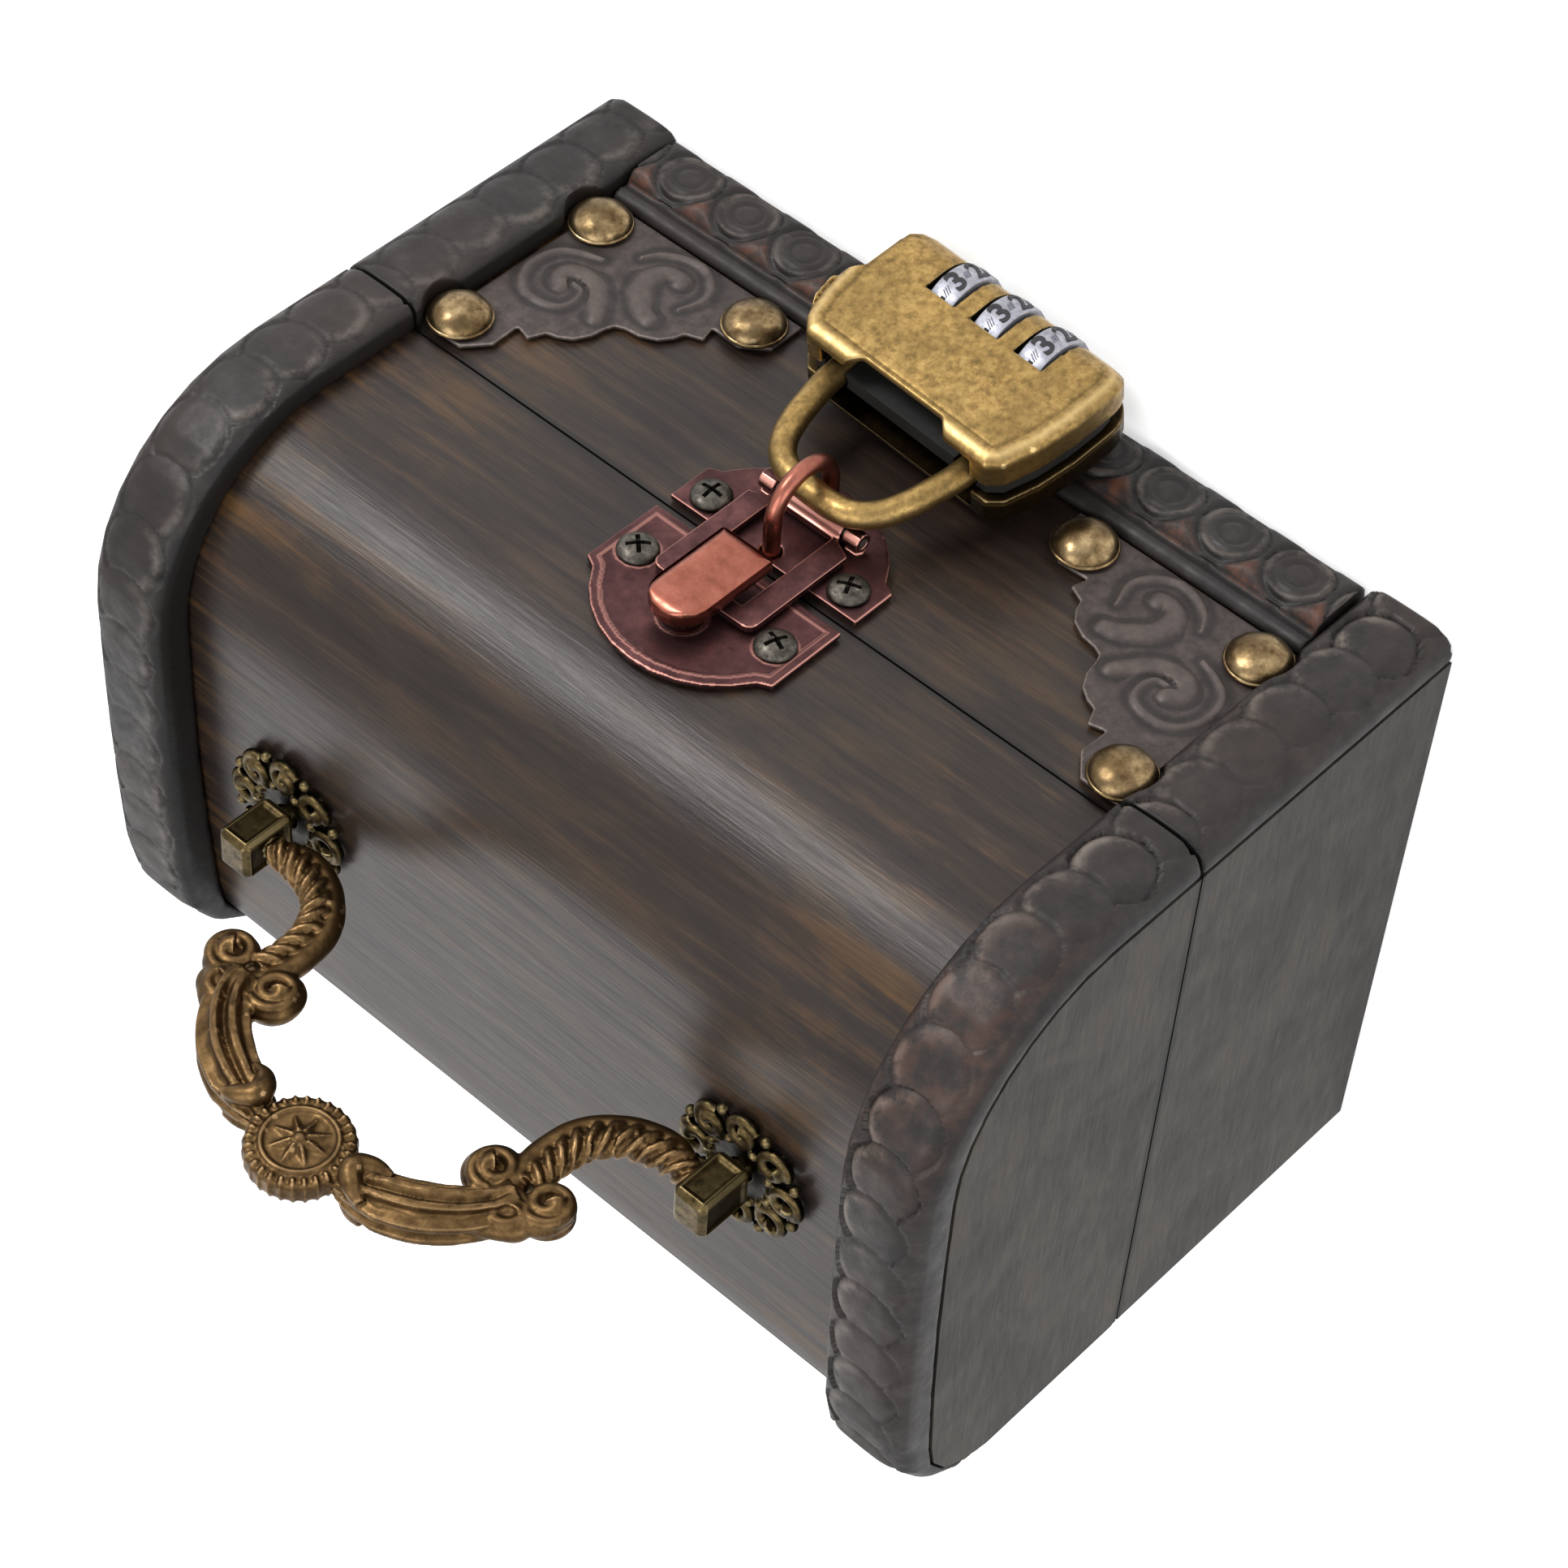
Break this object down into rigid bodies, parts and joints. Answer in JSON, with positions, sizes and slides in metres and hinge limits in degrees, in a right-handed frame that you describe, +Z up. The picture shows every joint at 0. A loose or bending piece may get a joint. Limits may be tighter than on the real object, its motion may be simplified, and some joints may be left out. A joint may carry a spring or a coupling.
{
  "type": "keepsake box",
  "caption": "Small wooden keepsake box with a bowed hinged lid, a swinging bail handle, embossed corner plates, and a copper hasp and staple closed by a dial padlock.",
  "frame": {"origin": "middle of the wooden box's underside", "axes": "+X along the box's length, -Y out of the front with the hasp and padlock, +Z up out of the lid"},
  "size_m": [0.13, 0.1025, 0.1213],
  "materials": {
    "walnut": "dark grey-brown stain, rubbed and satin varnished",
    "dark_moulding": "near-black stain over stamped scallops, red-brown where rubbed",
    "antique_brass": "antiqued brass with dark patches",
    "dark_brass": "embossed and darkened brass sheet",
    "antique_bronze": "cast, brown with golden highlights",
    "red_copper": "dark copper plate, bright at the edges",
    "dark_steel": "dark and worn",
    "lock_brass": "mottled antique brass",
    "lock_black": "black frame inside the shells",
    "dial_silver": "bright, with black digits"
  },
  "bodies": {
    "body": {"bottom_board": "walnut", "front_board": "walnut", "back_board": "walnut", "end_board_left": "walnut", "end_board_right": "walnut", "body_moulding_left": "dark_moulding", "body_moulding_right": "dark_moulding", "base_moulding": "dark_moulding", "corner_plate_left": "dark_brass", "corner_plate_right": "dark_brass", "corner_nail_1": "antique_brass", "corner_nail_2": "antique_brass", "corner_nail_3": "antique_brass", "corner_nail_4": "antique_brass", "corner_nail_5": "antique_brass", "corner_nail_6": "antique_brass", "hasp_body_plate": "red_copper", "hasp_body_screw_left": "dark_steel", "hasp_body_screw_right": "dark_steel", "staple": "red_copper", "hasp_pin": "dark_steel", "hinge_body_leaf_left": "antique_brass", "hinge_body_leaf_right": "antique_brass", "hinge_body_screw_1": "antique_brass", "hinge_body_screw_2": "antique_brass", "hinge_body_screw_3": "antique_brass", "hinge_body_screw_4": "antique_brass", "hinge_pin_left": "dark_steel", "hinge_pin_right": "dark_steel"},
    "lid": {"lid_board": "walnut", "lid_end_left": "walnut", "lid_end_right": "walnut", "lid_moulding_left": "dark_moulding", "lid_moulding_right": "dark_moulding", "hasp_lid_plate": "red_copper", "hasp_lid_screw_left": "dark_steel", "hasp_lid_screw_right": "dark_steel", "hinge_lid_leaf_left": "antique_brass", "hinge_lid_leaf_right": "antique_brass", "hinge_lid_screw_1": "antique_brass", "hinge_lid_screw_2": "antique_brass", "hinge_lid_screw_3": "antique_brass", "hinge_lid_screw_4": "antique_brass", "handle_rosette_left": "antique_bronze", "handle_post_left": "antique_bronze", "handle_nut_left": "dark_steel", "handle_rosette_right": "antique_bronze", "handle_post_right": "antique_bronze", "handle_nut_right": "dark_steel"},
    "bail": {"handle_bail": "antique_bronze"},
    "strap": {"hasp_strap": "red_copper", "thumb_tab": "red_copper"},
    "shackle": {"shackle": "lock_brass"},
    "lock_body": {"lock_front_shell": "lock_brass", "lock_back_shell": "lock_brass", "lock_core": "lock_black", "dial_axle": "dark_steel"},
    "dial_1": {"dial_1": "dial_silver"},
    "dial_2": {"dial_2": "dial_silver"},
    "dial_3": {"dial_3": "dial_silver"}
  },
  "joints": [
    {"name": "lid_hinge", "type": "hinge", "parent": "body", "child": "lid", "pos_m": [0, 0.0452, 0.04415], "axis": [-1, 0, 0], "range_deg": [0, 105]},
    {"name": "bail_pivot", "type": "hinge", "parent": "lid", "child": "bail", "pos_m": [0, 0.003, 0.0867], "axis": [1, 0, 0], "range_deg": [-90, 90]},
    {"name": "strap_hinge", "type": "hinge", "parent": "body", "child": "strap", "pos_m": [-0.001, -0.04165, 0.0349], "axis": [1, 0, 0], "range_deg": [-1.2, 45]},
    {"name": "padlock_swing", "type": "hinge", "parent": "body", "child": "shackle", "pos_m": [-0.001, -0.0447, 0.0353], "axis": [-1, 0, 0], "range_deg": [0, 95]},
    {"name": "shackle_slide", "type": "slide", "parent": "shackle", "child": "lock_body", "axis": [-0.061, -0.1733, -0.983], "range_m": [0, 0.0045]},
    {"name": "dial_1_spin", "type": "hinge", "parent": "lock_body", "child": "dial_1", "pos_m": [-0.01049, -0.05032, 0.00687], "axis": [0.9981, -0.0106, -0.0601], "continuous": true},
    {"name": "dial_2_spin", "type": "hinge", "parent": "lock_body", "child": "dial_2", "pos_m": [-0.0036, -0.0504, 0.00645], "axis": [0.9981, -0.0106, -0.0601], "continuous": true},
    {"name": "dial_3_spin", "type": "hinge", "parent": "lock_body", "child": "dial_3", "pos_m": [0.00329, -0.05047, 0.00604], "axis": [0.9981, -0.0106, -0.0601], "continuous": true}
  ]
}
